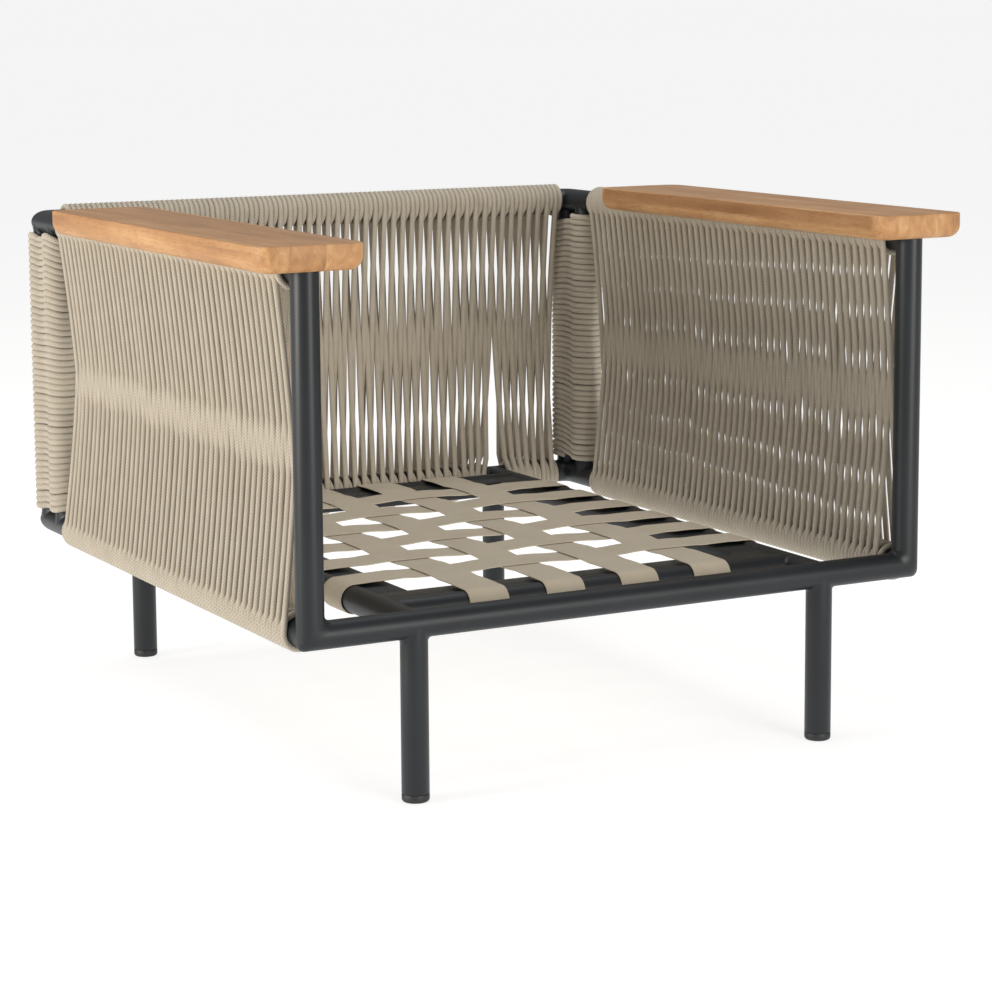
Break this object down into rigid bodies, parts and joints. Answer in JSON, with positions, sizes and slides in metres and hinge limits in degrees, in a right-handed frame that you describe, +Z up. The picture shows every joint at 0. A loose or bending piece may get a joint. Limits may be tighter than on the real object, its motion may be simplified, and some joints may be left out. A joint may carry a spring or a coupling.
{
  "type": "outdoor lounge armchair",
  "caption": "Low square lounge armchair frame of round painted tube, with rope-wound sides and back, wooden armrest boards and a woven webbing seat, without cushions.",
  "frame": {"origin": "on the floor, under the middle of the chair's overall box", "axes": "+Z up; the front of the seat faces -Y; +X is to the right of someone looking at the chair from the front"},
  "size_m": [0.872, 0.83, 0.596],
  "materials": {
    "frame_paint": "satin charcoal powder coat on aluminium tube",
    "glide_plastic": "moulded dark plastic",
    "webbing": "woven sand-beige elastic webbing",
    "rope": "braided sand-beige outdoor rope",
    "teak": "sanded honey-coloured teak, unvarnished",
    "screw_steel": "plain stainless steel"
  },
  "bodies": {
    "root": {"front_left_post": "frame_paint", "front_right_post": "frame_paint", "front_rail": "frame_paint", "left_lower_rail": "frame_paint", "right_lower_rail": "frame_paint", "back_lower_rail": "frame_paint", "left_upper_rail": "frame_paint", "right_upper_rail": "frame_paint", "back_upper_rail": "frame_paint", "rear_left_corner_post": "frame_paint", "rear_right_corner_post": "frame_paint", "rear_left_upright": "frame_paint", "rear_right_upright": "frame_paint", "front_left_leg": "frame_paint", "front_right_leg": "frame_paint", "rear_left_leg": "frame_paint", "rear_right_leg": "frame_paint", "seat_left_rail": "frame_paint", "seat_right_rail": "frame_paint", "seat_front_rail": "frame_paint", "seat_rear_rail": "frame_paint", "front_left_glide": "glide_plastic", "front_right_glide": "glide_plastic", "rear_left_glide": "glide_plastic", "rear_right_glide": "glide_plastic", "long_strap_1": "webbing", "long_strap_2": "webbing", "long_strap_3": "webbing", "long_strap_4": "webbing", "cross_strap_1": "webbing", "cross_strap_2": "webbing", "cross_strap_3": "webbing", "cross_strap_4": "webbing", "cross_strap_5": "webbing", "cross_strap_6": "webbing", "left_rope_wall": "rope", "right_rope_wall": "rope", "back_rope_wall": "rope", "rear_left_corner_rope": "rope", "rear_right_corner_rope": "rope", "left_armrest": "teak", "right_armrest": "teak", "left_armrest_screw_1": "screw_steel", "left_armrest_screw_2": "screw_steel", "left_armrest_screw_3": "screw_steel", "right_armrest_screw_1": "screw_steel", "right_armrest_screw_2": "screw_steel", "right_armrest_screw_3": "screw_steel"}
  },
  "joints": []
}
